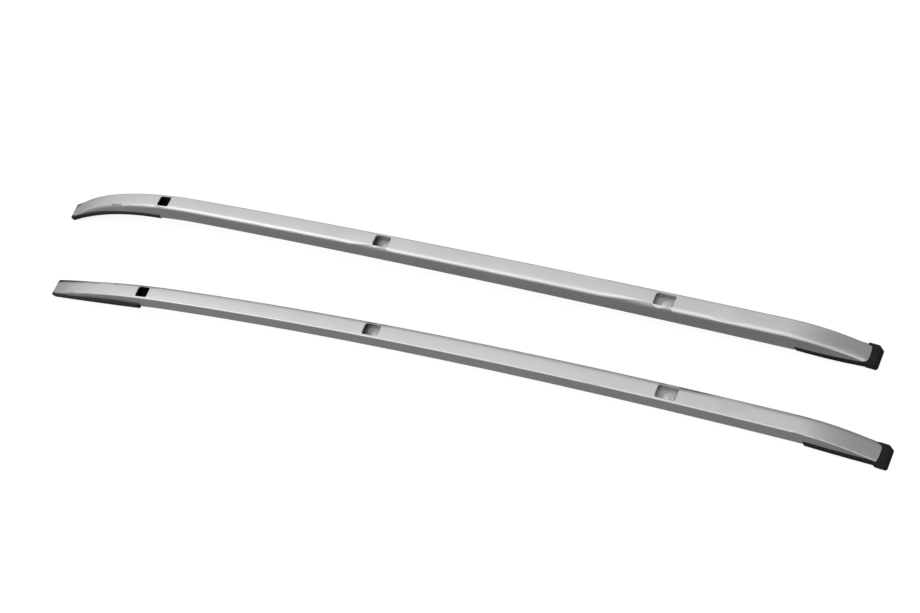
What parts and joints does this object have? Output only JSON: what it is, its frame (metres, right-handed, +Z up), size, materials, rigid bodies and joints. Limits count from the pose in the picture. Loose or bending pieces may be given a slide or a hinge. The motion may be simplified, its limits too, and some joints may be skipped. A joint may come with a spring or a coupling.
{
  "type": "roof side rail pair",
  "caption": "Mirrored pair of arched hollow aluminium roof side rails with rounded windows in the top, bolts inside and black rubber end pads, for fixing along the edges of a vehicle roof.",
  "frame": {"origin": "middle of the pair's box, on the floor that the end pads rest on", "axes": "+X along the rails to their front ends, which have the short pads; +Y to the left rail; +Z up"},
  "size_m": [2.0609, 0.2514, 0.1346],
  "materials": {
    "anodised": "satin anodised",
    "rubber": "matt moulded",
    "steel": "zinc plated"
  },
  "bodies": {
    "root": {"left_rail": "anodised", "left_front_pad": "rubber", "left_rear_pad": "rubber", "left_rear_bolt": "steel", "left_rear_washer": "steel", "left_rear_seal": "rubber", "left_middle_bolt": "steel", "left_middle_washer": "steel", "left_middle_seal": "rubber", "left_front_bolt": "steel", "left_front_washer": "steel", "left_front_seal": "rubber", "right_rail": "anodised", "right_front_pad": "rubber", "right_rear_pad": "rubber", "right_rear_bolt": "steel", "right_rear_washer": "steel", "right_rear_seal": "rubber", "right_middle_bolt": "steel", "right_middle_washer": "steel", "right_middle_seal": "rubber", "right_front_bolt": "steel", "right_front_washer": "steel", "right_front_seal": "rubber"}
  },
  "joints": []
}
